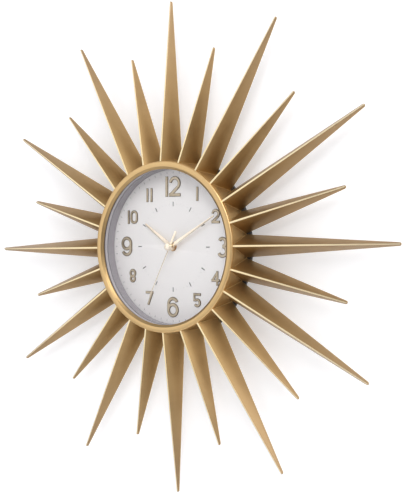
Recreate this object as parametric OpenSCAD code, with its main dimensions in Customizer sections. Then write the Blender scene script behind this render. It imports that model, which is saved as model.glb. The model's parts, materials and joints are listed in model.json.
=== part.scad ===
// Sunburst wall clock with a battery quartz movement.
// Every part is drawn lying on its back round the dial axis: x right, y up, z from the wall
// to the viewer. placed() then stands it up: the dial faces -Y, +Z is up, and the origin is
// on the wall plane, in the middle of the keyhole that the clock hangs by.

/* [Sunburst] */
// Number of rays round the case, long and short by turns
ray_count = 24; // [16:4:24]
// Distance from the dial axis to the tip of a long ray
long_tip_r = 350; // [290:1:450]
// Distance from the dial axis to the tip of a short ray
short_tip_r = 285; // [230:1:340]
// Height of a ray's ridge over its back edges, at the root
ray_root_h = 30.7; // [24:0.1:36]
// Height of a ray at its tip
ray_tip_h = 3; // [2:0.1:5]
// Width of the narrow flat along the ridge
ray_land_w = 2.6; // [1.5:0.1:4]
// Wall of the hollow ray
ray_wall = 1.5; // [1:0.1:1.8]
// Length of the solid root that takes the ray's screw
ray_root_l = 10; // [8:0.5:16]
// Gap between the back edges of neighbouring rays at the root
ray_gap = 0.4; // [0.3:0.1:2]
// Turn of the whole sunburst against the dial, clockwise is positive
burst_turn = -1; // [-3:0.1:3]

/* [Case] */
// Outside radius of the drum under the bezel
drum_r = 121.2; // [112:0.1:150]
// How much wider the drum is at its back edge
drum_flare = 2.4; // [1:0.1:4]
// Wall of the drum
drum_wall = 2; // [1.5:0.1:3]
// Height of the bezel's crown over the rays' back edges
case_depth = 32.5; // [28:0.1:40]
// Width of the inward flange at the back of the drum
drum_flange_w = 21; // [16:0.5:30]
// Width of the bezel's face, from its lip to its outer edge
bezel_face_w = 11; // [9:0.1:14]
// Depth of the bezel's ring in front of the lens
bezel_h = 4.5; // [3.5:0.1:6]
// Thickness of the lens
lens_t = 2; // [1.5:0.1:3]
// Depth of the dial face under the bezel's crown
dial_depth = 28.5; // [24:0.1:30]
// Thickness of the dial
dial_t = 1.2; // [0.8:0.1:2]
// Wall of the ring between the dial and the lens
reveal_wall = 1.8; // [1.4:0.1:3]
// Depth of the step round the reveal ring under the bezel's crown
reveal_step_depth = 14; // [12:0.5:16]

/* [Back] */
// How far the black back plate reaches past the drum's back edge
plate_reach = 7.4; // [6.5:0.1:12]
// Thickness of the back plate
plate_t = 4; // [3:0.5:6]
// Outside radius of the moulded rear cover
cover_r = 100; // [92:1:102]
// Depth of the rear cover behind the back plate
cover_h = 14; // [12:0.5:30]
// Wall of the rear cover
cover_wall = 2; // [1.6:0.1:3]
// Thickness of the soft pads that meet the wall
pad_t = 2; // [1:0.5:4]
// Radius of the keyhole's round end, which a screw head passes
keyhole_r = 4.5; // [4:0.1:6]
// Width of the keyhole's slot, which holds the screw's shank
keyhole_slot_w = 4.5; // [3.5:0.1:6]
// Height of the keyhole over the dial axis
hang_rise = 78; // [60:1:84]
// Number of screws that hold the rear cover, the back plate and the drum together
cover_screw_count = 6; // [3:1:8]

/* [Movement] */
// Side of the square movement case
move_w = 56; // [56:0.5:60]
// Thickness of the movement case
move_t = 15.5; // [15.5:0.5:20]
// Wall of the movement case
move_wall = 1.2; // [0.8:0.1:1.4]
// Thickness of the rubber washer between the movement and the dial
rubber_t = 0.8; // [0.5:0.1:1.5]
// Radius of the threaded bushing
bush_r = 4; // [3.8:0.1:5]
// Radius of the hour tube that turns in the bushing
hour_tube_r = 2.5; // [2.4:0.05:2.8]
// Radius of the minute tube that turns in the hour tube
minute_tube_r = 1.6; // [1.5:0.05:1.8]
// Radius of the seconds arbor that turns in the minute tube
seconds_arbor_r = 0.5; // [0.4:0.05:0.7]
// Radial clearance of everything that turns on or in another part
run_gap = 0.05; // [0.03:0.01:0.09]
// Diameter of the AA battery
battery_d = 14.2; // [13.5:0.1:14.5]
// Length of the AA battery with its nub
battery_l = 50.5; // [49.2:0.1:50.5]

/* [Hands] */
// Length of the hour hand from the dial axis
hour_hand_l = 58; // [40:1:62]
// Length of the minute hand from the dial axis
minute_hand_l = 87; // [60:1:100]
// Length of the second hand from the dial axis
second_hand_l = 80; // [50:1:100]
// Length of the second hand's tail
second_tail_l = 25; // [15:1:40]
// Thickness of the hour and minute hands
hand_t = 0.7; // [0.4:0.1:1]
// Radius of the second hand's round cap
cap_r = 4.8; // [4:0.1:7]
// Height of the cap's front over the dial face
cap_rise = 14.6; // [14:0.1:17]
// Hour shown at rest, as the hour hand's angle from twelve
hour_angle = 304.5; // [0:0.5:359]
// Minute shown at rest, as the minute hand's angle from twelve
minute_angle = 60; // [0:0.5:359]
// Second shown at rest, as the second hand's angle from twelve
second_angle = 207; // [0:0.5:359]

/* [Numerals] */
// Height of the 12, 3, 6 and 9
big_numeral_h = 28.5; // [20:0.5:30]
// Height of the other numerals
small_numeral_h = 19.5; // [14:0.5:22]
// Radius of the circle through the middles of the numerals
numeral_ring_r = 86; // [80:0.5:88]
// How far the numerals stand off the dial
numeral_t = 1.2; // [0.6:0.1:2]

/* [Hidden] */
$fn = 96;

// Gears are wider at the root than at the tip, with wide gaps that leave backlash.
tooth_addendum = 0.7;
tooth_dedendum = 1;
tooth_root_share = 0.56;
tooth_tip_share = 0.22;
wheel_t = 0.7;

// Depths along the dial axis, from the wall plane.
cover_back_z = pad_t;
cover_in_z = cover_back_z + cover_wall;
plate_z = cover_back_z + cover_h;
burst_z = plate_z + plate_t;
crown_z = burst_z + case_depth;
bezel_z = crown_z - bezel_h;
lens_z = bezel_z - lens_t;
dial_z = crown_z - dial_depth;
dial_back_z = dial_z - dial_t;
reveal_step_z = crown_z - reveal_step_depth;
move_z = dial_back_z - rubber_t;
move_back_z = move_z - move_t;
inner_z = move_back_z + move_wall;
inner_front_z = move_z - move_wall;
split_z = move_back_z + 7.5;

// Radii round the dial axis.
fit_gap = 0.05;
bezel_inset = 0.6;
lens_gap = 0.35;
dial_gap = 1.2;
lip_overhang = 0.4;
drum_back_r = drum_r + drum_flare;
flange_r = drum_back_r - drum_flange_w;
plate_r = drum_back_r + plate_reach;
bezel_r = drum_r - bezel_inset;
lip_r = bezel_r - bezel_face_w;
skirt_r = drum_r - drum_wall - fit_gap;
skirt_wall = 2;
lens_r = skirt_r - skirt_wall - lens_gap;
reveal_r = lip_r + lip_overhang;
reveal_recess = 0.6;
reveal_flange_t = 1.4;
dial_r = drum_r - drum_wall - dial_gap;

// Rays.
ray_step = 360 / ray_count;
root_r = drum_back_r;
root_half_w = root_r * tan(ray_step / 2) - ray_gap / 2;
side_slope = (root_half_w - ray_land_w / 2) / ray_root_h;
bar_faces = [[3, 2, 1, 0], [5, 6, 7, 4], [1, 5, 4, 0], [2, 6, 5, 1], [3, 7, 6, 2], [0, 4, 7, 3]];
ray_seat_gap = 0.1;
ray_solid_tip_l = 30;
ray_skin_w = ray_wall * sqrt(1 + side_slope * side_slope);
hollow_under = 1;
ray_screw_r = root_r + 3.4;
ray_pilot_r = 1.2;
ray_pilot_l = 12;

// How far a digit's straight stroke runs into its round one.
stroke_lap = 1;

// Screws.
screw_gap = 0.3;
ray_screw_shank_r = ray_pilot_r - fit_gap;
ray_screw_head_r = 2.6;
ray_screw_head_h = 1.7;
cover_screw_ring_r = flange_r + 9;
cover_flange_r = cover_screw_ring_r + 6;
cover_shank_r = 1.4;
cover_pilot_r = cover_shank_r + fit_gap;
cover_head_r = 2.9;
cover_head_h = 1.9;

// Openings in the back.
move_window_w = move_w + 8;
cover_window_w = move_w + 6;
window_corner_r = 4;
pad_r = 8;
pad_ring_r = cover_r - 20;

// Movement plan, seen from the front with the shaft at 0, 0.
inner_w = move_w - 2 * move_wall;
battery_r = battery_d / 2;
battery_gap = 0.4;
battery_y = -inner_w / 2 + battery_gap + battery_r;
battery_z = move_back_z + 0.3 + battery_r;
battery_door_w = battery_d + 0.7;
partition_t = 0.8;
partition_y = battery_y + battery_r + 0.5;
contact_t = 0.4;
contact_gap = 0.3;
contact_x = inner_w / 2 - contact_t - 0.1;
strip_gap = 1.4;
arbor_r = 0.4;
boss_r = 1.3;

// Tooth numbers and modules. Each pair's modules put its two wheels on the train's centres.
train_c = 7.2;
rotor_c = 5.6;
motion_c = 7.92;
rotor_pinion_n = 8;
intermediate_n = 48;
intermediate_pinion_n = 8;
second_n = 40;
second_pinion_n = 8;
third_n = 60;
third_pinion_n = 8;
centre_n = 64;
cannon_n = 12;
minute_n = 36;
minute_pinion_n = 10;
hour_n = 40;
knob_pinion_n = 12;
rotor_m = pair_module(rotor_c, rotor_pinion_n, intermediate_n);
intermediate_m = pair_module(train_c, intermediate_pinion_n, second_n);
second_m = pair_module(train_c, second_pinion_n, third_n);
third_m = pair_module(train_c, third_pinion_n, centre_n);
cannon_m = pair_module(motion_c, cannon_n, minute_n);
hour_m = pair_module(motion_c, minute_pinion_n, hour_n);

// Places of the arbors.
intermediate_dir = 60;
rotor_dir = 60;
third_dir = 180;
minute_dir = 0;
knob_dir = 55;
intermediate_at = polar(train_c, intermediate_dir);
rotor_at = intermediate_at + polar(rotor_c, rotor_dir);
third_at = polar(train_c, third_dir);
minute_at = polar(motion_c, minute_dir);
knob_at = minute_at + polar(motion_c, knob_dir);

// Turns that put teeth into gaps, worked along the train from the second wheel.
intermediate_pinion_turn = mesh_turn(intermediate_dir, second_n, 0, intermediate_pinion_n);
rotor_turn = mesh_turn(rotor_dir, intermediate_n, intermediate_pinion_turn, rotor_pinion_n);
third_turn = mesh_turn(third_dir, second_pinion_n, 0, third_n);
centre_turn = mesh_turn(third_dir + 180, third_pinion_n, third_turn, centre_n);
minute_turn = mesh_turn(minute_dir, cannon_n, centre_turn, minute_n);
hour_turn = mesh_turn(minute_dir + 180, minute_pinion_n, minute_turn, hour_n);
knob_turn = mesh_turn(knob_dir, minute_n, minute_turn, knob_pinion_n);

// Heights of the wheels, from the back of the movement to its front.
rotor_z = inner_z + 1.2;
rotor_magnet_r = 2.4;
rotor_magnet_h = 2.5;
rotor_pinion_z = rotor_z + rotor_magnet_h;
rotor_pinion_h = 1.6;
rotor_front_z = rotor_pinion_z + rotor_pinion_h + 0.4;
intermediate_z = rotor_pinion_z + 0.5;
second_z = intermediate_z + wheel_t + 0.6;
third_z = second_z + wheel_t + 0.6;
centre_z = third_z + wheel_t + 0.7;
minute_z = centre_z + wheel_t + 0.5;
hour_z = minute_z + wheel_t + 0.9;
knob_pinion_z = minute_z - 0.2;
knob_pinion_h = 1.1;
knob_r = 6;
knob_h = 2.3;
knob_shaft_r = 1.2;
knob_clear = 0.4;

// Motor.
stator_z = rotor_z + 0.6;
stator_t = 1;
stator_bore_r = rotor_magnet_r + 0.6;
stator_ring_r = 4.7;
core_z = stator_z + stator_t;
core_t = 1;
core_w = 3;
core_y = 21.5;
core_x0 = -12;
core_x1 = 18;
coil_r = 3;
coil_l = 20;

// Circuit board and crystal.
board_x0 = 0.8 - inner_w / 2;
board_x1 = board_x0 + 10.5;
board_y0 = partition_y + partition_t + 1.4;
board_y1 = 18;
board_z = inner_z + 1.6;
board_t = 1;
crystal_r = 1;
crystal_l = 6;

// Front of the shaft, measured from the dial face.
washer_t = 0.5;
nut_h = 2;
nut_flats = 10;
bush_front_z = dial_z + washer_t + nut_h + 0.5;
hour_hand_z = bush_front_z + 0.6;
minute_hand_z = hour_hand_z + hand_t + 1.8;
cap_front_z = dial_z + cap_rise;
second_hand_z = minute_hand_z + hand_t + 1.5;
press_gap = 0.02;
second_hand_t = 0.5;
bush_flange_r = 5;
bush_flange_t = 0.8;

ray_names = [for (i = [1:ray_count]) str("ray_", i < 10 ? "0" : "", i)];

// ---- functions ----

function polar(r, a) = r * [cos(a), sin(a)];

// Module of two wheels of na and nb teeth whose centres are c apart.
function pair_module(c, na, nb) = 2 * c / (na + nb);

// Turn of the second wheel of a pair, so that its gaps face the teeth of the first.
// dir is the direction from the first wheel's centre to the second's.
function mesh_turn(dir, na, turn_a, nb) =
    let (phase = (dir - turn_a) * na / 360)
    dir + 180 - (0.5 - phase) * 360 / nb;

// Outline of a spur wheel with straight-sided teeth.
function tooth_outline(n, m) =
    let (rr = m * (n / 2 - tooth_dedendum), rt = m * (n / 2 + tooth_addendum), p = 360 / n)
    [for (i = [0:n - 1], s = [-1, 1], q = s < 0 ? [0, 1] : [1, 0])
        polar(q == 0 ? rr : rt, p * (i + s * (q == 0 ? tooth_root_share : tooth_tip_share) / 2))];

// Height and half width of a ray at distance r from the axis, for a tip at tip_r.
function ray_h(r, tip_r) =
    ray_root_h + (ray_tip_h - ray_root_h) * (r - drum_r) / (tip_r - drum_r);
function ray_half_w(r, tip_r) = ray_land_w / 2 + side_slope * ray_h(r, tip_r);
function ray_section(r, tip_r) = [r, ray_half_w(r, tip_r), ray_land_w / 2, ray_h(r, tip_r)];

// The same section one wall inside the ray, carried a little past its open back.
function hollow_section(r, tip_r) =
    [r, ray_half_w(r, tip_r) - ray_skin_w + side_slope * hollow_under,
        ray_land_w / 2 + side_slope * ray_wall - ray_skin_w,
        ray_h(r, tip_r) - ray_wall + hollow_under];

// Points of a circular arc.
function arc_points(c, r, a0, a1, n = 8) =
    [for (i = [0:n]) c + polar(r, a0 + (a1 - a0) * i / n)];

// Direction of a place on the dial, where a clock angle runs clockwise from twelve.
function clock_dir(a) = [sin(a), cos(a)];

// ---- shared shapes ----

module placed() {
    translate([0, 0, -hang_rise])
        rotate([90, 0, 0])
            children();
}

module at(p, z = 0) {
    translate([p[0], p[1], z])
        children();
}

module disc(r, h, z = 0) {
    translate([0, 0, z])
        cylinder(r = r, h = h);
}

module ring(r_out, r_in, h, z = 0) {
    translate([0, 0, z])
        difference() {
            cylinder(r = r_out, h = h);
            translate([0, 0, -1])
                cylinder(r = r_in, h = h + 2);
        }
}

module box(x0, x1, y0, y1, z0, z1) {
    translate([x0, y0, z0])
        cube([x1 - x0, y1 - y0, z1 - z0]);
}

module wheel(n, m, turn, h, z) {
    translate([0, 0, z])
        rotate([0, 0, turn])
            linear_extrude(height = h)
                polygon(tooth_outline(n, m));
}

// Square hole with round corners.
module window(w, z0, z1) {
    r = window_corner_r;
    box(-w / 2, w / 2, r - w / 2, w / 2 - r, z0, z1);
    box(r - w / 2, w / 2 - r, -w / 2, w / 2, z0, z1);
    for (x = [-1, 1], y = [-1, 1])
        at([x, y] * (w / 2 - r), z0)
            cylinder(r = r, h = z1 - z0);
}

module ray_places() {
    for (i = [0:ray_count - 1])
        rotate([0, 0, -burst_turn - i * ray_step])
            children();
}

module cover_screw_places() {
    for (i = [0:cover_screw_count - 1])
        at(cover_screw_ring_r * clock_dir(30 + i * 360 / cover_screw_count))
            children();
}

// ---- sunburst ----

// Straight bar along +y whose section shrinks from one end to the other. Each section is
// given as [distance, half width at the back, half width at the ridge, height].
module tapered_bar(a, b, z0) {
    points = [for (s = [a, b], q = [[-s[1], 0], [s[1], 0], [s[2], s[3]], [-s[2], s[3]]])
        [q[0], s[0], z0 + q[1]]];
    polyhedron(points, bar_faces);
}

module ray_body(tip_r) {
    start = drum_r - 4;
    tip_round = ray_half_w(tip_r, tip_r);
    intersection() {
        tapered_bar(ray_section(start, tip_r), ray_section(tip_r, tip_r), burst_z);
        union() {
            box(-root_r, root_r, 0, tip_r - tip_round, burst_z - 1, crown_z);
            at([0, tip_r - tip_round], burst_z - 1)
                cylinder(r = tip_round, h = 2 * ray_tip_h + 2);
        }
    }
}

module ray_hollow(tip_r) {
    tapered_bar(
        hollow_section(root_r + ray_root_l, tip_r),
        hollow_section(tip_r - ray_solid_tip_l, tip_r),
        burst_z - hollow_under);
}

// The drum's tapered side, on which the rays' roots sit.
module drum_seat() {
    r_back = drum_back_r + ray_seat_gap;
    r_front = drum_r + ray_seat_gap;
    translate([0, 0, burst_z])
        cylinder(r1 = r_back, r2 = r_front, h = bezel_z - burst_z);
    disc(r_front, case_depth, bezel_z - 0.01);
}

module ray(i) {
    tip_r = i % 2 == 0 ? long_tip_r : short_tip_r;
    color("#b0894a")
        placed()
            rotate([0, 0, -burst_turn - i * ray_step])
                difference() {
                    ray_body(tip_r);
                    ray_hollow(tip_r);
                    drum_seat();
                    at([0, ray_screw_r], burst_z - 1)
                        cylinder(r = ray_pilot_r, h = ray_pilot_l + 1);
                }
}

module ray_screws() {
    color("dimgray")
        placed()
            ray_places()
                at([0, ray_screw_r]) {
                    disc(ray_screw_head_r, ray_screw_head_h, plate_z - ray_screw_head_h);
                    disc(ray_screw_shank_r, plate_t + ray_pilot_l - 2, plate_z);
                }
}

// ---- case ----

module drum() {
    color("#9a7a3c")
        placed()
            difference() {
                rotate_extrude()
                    polygon([
                        [flange_r, burst_z], [drum_back_r, burst_z], [drum_r, bezel_z],
                        [drum_r - drum_wall, bezel_z], [drum_back_r - drum_wall, dial_back_z + 0.6],
                        [drum_back_r - drum_wall, dial_back_z], [flange_r, dial_back_z]]);
                cover_screw_places()
                    disc(cover_pilot_r, dial_back_z - burst_z + 2, burst_z - 1);
            }
}

// The crown is gently domed, with a round outer edge and a bevel down to the lip.
module bezel() {
    edge_r = 1.6;
    dome = 0.35;
    bevel_w = 3.4;
    bevel_h = 2;
    crown_r0 = lip_r + bevel_w;
    color("#d9b26a")
        placed()
            rotate_extrude()
                polygon(concat(
                    [[bezel_r, bezel_z]],
                    arc_points([bezel_r - edge_r, crown_z - dome - edge_r], edge_r, 0, 90),
                    [[(bezel_r - edge_r + crown_r0) / 2, crown_z], [crown_r0, crown_z - dome],
                     [lip_r, crown_z - dome - bevel_h], [lip_r, bezel_z],
                     [skirt_r - skirt_wall, bezel_z], [skirt_r - skirt_wall, bezel_z - lens_t - 2],
                     [skirt_r, bezel_z - lens_t - 2], [skirt_r, bezel_z]]));
}

module lens() {
    color("lightcyan", 0.3)
        placed()
            disc(lens_r, lens_t, lens_z);
}

// Grey wall between the dial and the lens, wider in front of its step.
module reveal_ring() {
    out_r = reveal_r + reveal_wall;
    wide_r = reveal_r + reveal_recess;
    color("#9b969b")
        placed()
            rotate_extrude()
                polygon([
                    [reveal_r, dial_z], [out_r, dial_z], [out_r, lens_z - reveal_flange_t],
                    [lens_r, lens_z - reveal_flange_t], [lens_r, lens_z], [wide_r, lens_z],
                    [wide_r, reveal_step_z], [reveal_r, reveal_step_z - reveal_recess]]);
}

module dial() {
    color("#f2efec")
        placed()
            ring(dial_r, bush_r + 0.2, dial_t, dial_back_z);
}

// ---- numerals ----

// Straight and round strokes of width w, drawn on the dial face.
module bar(p, q, w) {
    d = q - p;
    at(p, dial_z)
        rotate([0, 0, atan2(d[1], d[0])])
            translate([0, -w / 2, 0])
                cube([norm(d), w, numeral_t]);
}

module bow(c, r, a0, a1, w) {
    at(c, dial_z)
        rotate([0, 0, a0])
            rotate_extrude(angle = a1 - a0)
                translate([r - w / 2, 0])
                    square([w, numeral_t]);
}

module six(h, w, s) {
    r = w / 2 - s / 2;
    low = r + s / 2 - h / 2;
    high = h / 2 - w / 2;
    bow([0, low], r, 0, 360, s);
    bar([-r, low], [-r, high + stroke_lap], s * 0.97);
    bow([0, high], r, 25, 180, s);
}

// One digit centred on the origin, h high and w wide, with strokes s wide.
module digit(n, h, w, s) {
    r = w / 2 - s / 2;
    top = h / 2;
    if (n == 0) {
        bow([0, top - w / 2], r, 0, 180, s);
        bow([0, w / 2 - top], r, 180, 360, s);
        for (x = [-r, r])
            bar([x, w / 2 - top], [x, top - w / 2], s);
    }
    if (n == 1)
        bar([0, -top], [0, top], s);
    if (n == 2) {
        bow([0, top - w / 2], r, -40, 170, s);
        bar([0, top - w / 2] + polar(r, -40), [-r, s / 2 - top], s);
        bar([-w / 2, s / 2 - top], [w / 2, s / 2 - top], s);
    }
    if (n == 3) {
        up = (h - s) / 4 * 0.92;
        low = (h - s) / 2 - up;
        bow([0, top - s / 2 - up], up, -90, 150, s);
        bow([0, s / 2 - top + low], low, -155, 90, s);
    }
    if (n == 4) {
        foot = w * 0.2;
        rail = s / 2 - h * 0.24;
        bar([foot, -top], [foot, top], s);
        bar([-w / 2, rail], [w / 2, rail], s);
        bar([foot, top - s / 2], [-w / 2 + s / 2, rail], s * 0.9);
    }
    if (n == 5) {
        bowl = h * 0.31 - s / 2;
        bow([0, s / 2 - top + bowl], bowl, -150, 140, s);
        bar([-w / 2 + s / 2, top], [-w / 2 + s / 2, s / 2 - top + bowl * 1.5], s * 0.9);
        bar([-w / 2 + s / 4, top - s / 2], [w / 2 - s / 4, top - s / 2], s);
    }
    if (n == 6)
        six(h, w, s);
    if (n == 7) {
        bar([-w / 2, top - s / 2], [w / 2, top - s / 2], s);
        bar([w / 2 - s / 2, top - s / 2], [-w * 0.16, -top], s);
    }
    if (n == 8) {
        low = h * 0.275 - s / 2;
        up = (h - s) / 2 - low;
        bow([0, top - s / 2 - up], up, 0, 360, s);
        bow([0, s / 2 - top + low], low, 0, 360, s);
    }
    if (n == 9)
        rotate([0, 0, 180])
            six(h, w, s);
}

module numeral(hour) {
    big = hour % 3 == 0;
    h = big ? big_numeral_h : small_numeral_h;
    s = h * (big ? 0.15 : 0.17);
    w = h * 0.7;
    space = s * 0.55;
    at(numeral_ring_r * clock_dir(hour * 30))
        if (hour < 10)
            digit(hour, h, w, s);
        else if (hour == 11)
            for (x = [-1, 1])
                translate([x * s * 1.15, 0, 0])
                    digit(1, h, s, s);
        else {
            translate([-(w + space) / 2, 0, 0])
                digit(1, h, s, s);
            translate([(s + space) / 2, 0, 0])
                digit(hour - 10, h, w, s);
        }
}

module numerals() {
    color("#a08a60")
        placed()
            for (hour = [1:12])
                numeral(hour);
}

// ---- back ----

module back_plate() {
    color("#1c1b1a")
        placed()
            difference() {
                disc(plate_r, plate_t, plate_z);
                window(move_window_w, plate_z - 1, burst_z + 1);
                ray_places()
                    at([0, ray_screw_r])
                        disc(ray_screw_shank_r + screw_gap, plate_t + 2, plate_z - 1);
                cover_screw_places()
                    disc(cover_shank_r + screw_gap, plate_t + 2, plate_z - 1);
            }
}

module keyhole() {
    at([0, hang_rise], cover_back_z - 1)
        cylinder(r = keyhole_r, h = cover_wall + 2);
    box(-keyhole_slot_w / 2, keyhole_slot_w / 2, hang_rise, hang_rise + 2 * keyhole_r,
        cover_back_z - 1, cover_in_z + 1);
    at([0, hang_rise + 2 * keyhole_r], cover_back_z - 1)
        cylinder(r = keyhole_slot_w / 2, h = cover_wall + 2);
}

// Shallow black cup that stands the clock off the wall and covers the back.
module rear_cover() {
    color("#262524")
        placed()
            difference() {
                rotate_extrude()
                    polygon([
                        [0, cover_back_z], [cover_r, cover_back_z], [cover_r, plate_z - cover_wall],
                        [cover_flange_r, plate_z - cover_wall], [cover_flange_r, plate_z],
                        [cover_r - cover_wall, plate_z], [cover_r - cover_wall, cover_in_z],
                        [0, cover_in_z]]);
                window(cover_window_w, cover_back_z - 1, cover_in_z + 1);
                keyhole();
                cover_screw_places()
                    disc(cover_shank_r + screw_gap, cover_wall + 2, plate_z - cover_wall - 1);
            }
}

module wall_pads() {
    color("#4a4a4a")
        placed()
            for (a = [45:90:315])
                at(pad_ring_r * clock_dir(a))
                    disc(pad_r, pad_t);
}

module cover_screws() {
    color("gray")
        placed()
            cover_screw_places() {
                disc(cover_head_r, cover_head_h, plate_z - cover_wall - cover_head_h);
                disc(cover_shank_r, dial_back_z - plate_z + cover_wall - 0.2, plate_z - cover_wall);
            }
}

// ---- hands ----

// Flat tapered hand from the axis to length l, with a round boss.
module blade(l, w_root, w_tip, tip_r) {
    polygon([[-w_root / 2, 0], [w_root / 2, 0], [w_tip / 2, l - tip_r], [-w_tip / 2, l - tip_r]]);
    translate([0, l - tip_r])
        circle(r = tip_r);
}

module hour_hand() {
    color("#d8b98c")
        placed()
            translate([0, 0, hour_hand_z])
                difference() {
                    union() {
                        rotate([0, 0, -hour_angle])
                            linear_extrude(height = hand_t)
                                blade(hour_hand_l, 6.4, 3, 1.5);
                        disc(5.2, hand_t);
                    }
                    disc(hour_tube_r + press_gap, hand_t + 2, -1);
                }
}

module minute_hand() {
    color("#e0bfa0")
        placed()
            translate([0, 0, minute_hand_z])
                difference() {
                    union() {
                        rotate([0, 0, -minute_angle])
                            linear_extrude(height = hand_t)
                                blade(minute_hand_l, 6.2, 2.4, 1.2);
                        disc(4.8, hand_t);
                    }
                    disc(minute_tube_r + press_gap, hand_t + 2, -1);
                }
}

module second_hand() {
    cap_top = 1.2;
    socket_l = cap_front_z - cap_top - second_hand_z;
    color("#e6cba6")
        placed()
            difference() {
                union() {
                    translate([0, 0, second_hand_z])
                        linear_extrude(height = second_hand_t)
                            rotate([0, 0, -second_angle]) {
                                blade(second_hand_l, 1.6, 0.9, 0.45);
                                rotate([0, 0, 180])
                                    blade(second_tail_l, 3, 4.4, 2.2);
                            }
                    disc(cap_r, cap_front_z - second_hand_z, second_hand_z);
                }
                disc(seconds_arbor_r + press_gap, socket_l + 1, second_hand_z - 1);
            }
}

// ---- movement case and its fixings ----

module hex_nut() {
    color("#c9a35a")
        placed()
            difference() {
                translate([0, 0, dial_z + washer_t])
                    cylinder(r = nut_flats / sqrt(3), h = nut_h, $fn = 6);
                disc(bush_r + press_gap, nut_h + 2, dial_z + washer_t - 1);
            }
}

module brass_washer() {
    color("#c9a35a")
        placed()
            ring(6.4, bush_r + 0.15, washer_t, dial_z);
}

module rubber_washer() {
    color("#2a2a2a")
        placed()
            ring(bush_r + 5, bush_r + 0.15, rubber_t, move_z);
}

module threaded_bushing() {
    color("#c2a052")
        placed()
            difference() {
                union() {
                    disc(bush_flange_r, bush_flange_t, inner_front_z - bush_flange_t);
                    disc(bush_r, bush_front_z - inner_front_z, inner_front_z);
                }
                disc(hour_tube_r + run_gap, bush_front_z - inner_front_z + 4, inner_front_z - 2);
            }
}

// Open square tray, its floor at z0 and its rim towards z1, with the battery's own wall.
module tray(z0, z1, floor_z) {
    h = move_w / 2;
    low = min(z0, z1);
    high = max(z0, z1);
    difference() {
        box(-h, h, -h, h, low, high);
        box(-inner_w / 2, inner_w / 2, -inner_w / 2, inner_w / 2, min(floor_z, z1 + sign(z1 - z0)),
            max(floor_z, z1 + sign(z1 - z0)));
    }
    box(strip_gap - inner_w / 2, inner_w / 2 - strip_gap, partition_y, partition_y + partition_t,
        min(floor_z, z1), max(floor_z, z1));
}

module movement_front_case() {
    pocket_z = battery_z + battery_r + 0.2;
    color("#303235")
        placed()
            difference() {
                union() {
                    tray(move_z, split_z, inner_front_z);
                    for (p = [intermediate_at, third_at, minute_at])
                        at(p)
                            disc(boss_r, 0.8, inner_front_z - 0.8);
                    at(rotor_at)
                        disc(boss_r, inner_front_z - rotor_front_z, rotor_front_z);
                }
                for (p = [intermediate_at, third_at, minute_at, rotor_at])
                    at(p)
                        disc(arbor_r + run_gap, inner_front_z - rotor_front_z + 0.4, rotor_front_z - 0.1);
                box(-battery_l / 2 - 0.4, battery_l / 2 + 0.4, -inner_w / 2, battery_y + battery_r + 0.3,
                    split_z, pocket_z);
                disc(bush_r + 0.05, move_wall + 2, inner_front_z - 1);
            }
}

module movement_back_case() {
    color("#303235")
        placed()
            difference() {
                union() {
                    tray(move_back_z, split_z, inner_z);
                    for (p = [[0, 0], intermediate_at, third_at, minute_at, rotor_at])
                        at(p)
                            disc(boss_r, 0.8, inner_z);
                }
                for (p = [intermediate_at, third_at, minute_at, rotor_at])
                    at(p)
                        disc(arbor_r + run_gap, 2, inner_z - 0.4);
                disc(seconds_arbor_r + run_gap, 2, inner_z - 0.4);
                at(knob_at)
                    disc(knob_shaft_r + run_gap, move_wall + 2, move_back_z - 1);
                box(-battery_l / 2 - 0.4, battery_l / 2 + 0.4, battery_y - battery_door_w / 2,
                    battery_y + battery_door_w / 2, move_back_z - 1, inner_z + 1);
            }
}

// ---- wheels ----

// Arbor from the back case to the front case, on which a wheel and its pinion sit.
module arbor(front_z) {
    disc(arbor_r, front_z - inner_z - 0.1, inner_z + 0.1);
}

module hour_wheel() {
    color("#e8e2d0")
        placed()
            difference() {
                union() {
                    wheel(hour_n, hour_m, hour_turn, wheel_t, hour_z);
                    disc(hour_tube_r, hour_hand_z + hand_t - hour_z, hour_z);
                }
                disc(minute_tube_r + run_gap, 20, hour_z - 1);
            }
}

module minute_wheel() {
    color("#e8e2d0")
        placed()
            at(minute_at) {
                wheel(minute_n, cannon_m, minute_turn, wheel_t, minute_z);
                wheel(minute_pinion_n, hour_m, minute_turn, hour_z + wheel_t - minute_z, minute_z);
                arbor(inner_front_z - 0.1);
            }
}

module centre_wheel() {
    color("#d9c46c")
        placed()
            difference() {
                union() {
                    wheel(centre_n, third_m, centre_turn, wheel_t, centre_z);
                    wheel(cannon_n, cannon_m, centre_turn, minute_z + wheel_t + 0.3 - centre_z, centre_z);
                    disc(minute_tube_r, minute_hand_z + hand_t + 0.4 - centre_z, centre_z);
                }
                disc(seconds_arbor_r + run_gap, 20, centre_z - 1);
            }
}

module third_wheel() {
    color("#e8e2d0")
        placed()
            at(third_at) {
                wheel(third_n, second_m, third_turn, wheel_t, third_z);
                wheel(third_pinion_n, third_m, third_turn, centre_z + wheel_t + 0.3 - third_z, third_z);
                arbor(inner_front_z - 0.1);
            }
}

module second_wheel() {
    arbor_front_z = second_hand_z + 2.6;
    color("#e8e2d0")
        placed() {
            wheel(second_n, intermediate_m, 0, wheel_t, second_z);
            wheel(second_pinion_n, second_m, 0, third_z + wheel_t - second_z, second_z);
            disc(seconds_arbor_r, arbor_front_z - inner_z - 0.1, inner_z + 0.1);
        }
}

module intermediate_wheel() {
    color("#e8e2d0")
        placed()
            at(intermediate_at) {
                wheel(intermediate_n, rotor_m, intermediate_pinion_turn, wheel_t, intermediate_z);
                wheel(intermediate_pinion_n, intermediate_m, intermediate_pinion_turn,
                    second_z + wheel_t - intermediate_z + 0.2, intermediate_z);
                arbor(inner_front_z - 0.1);
            }
}

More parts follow.
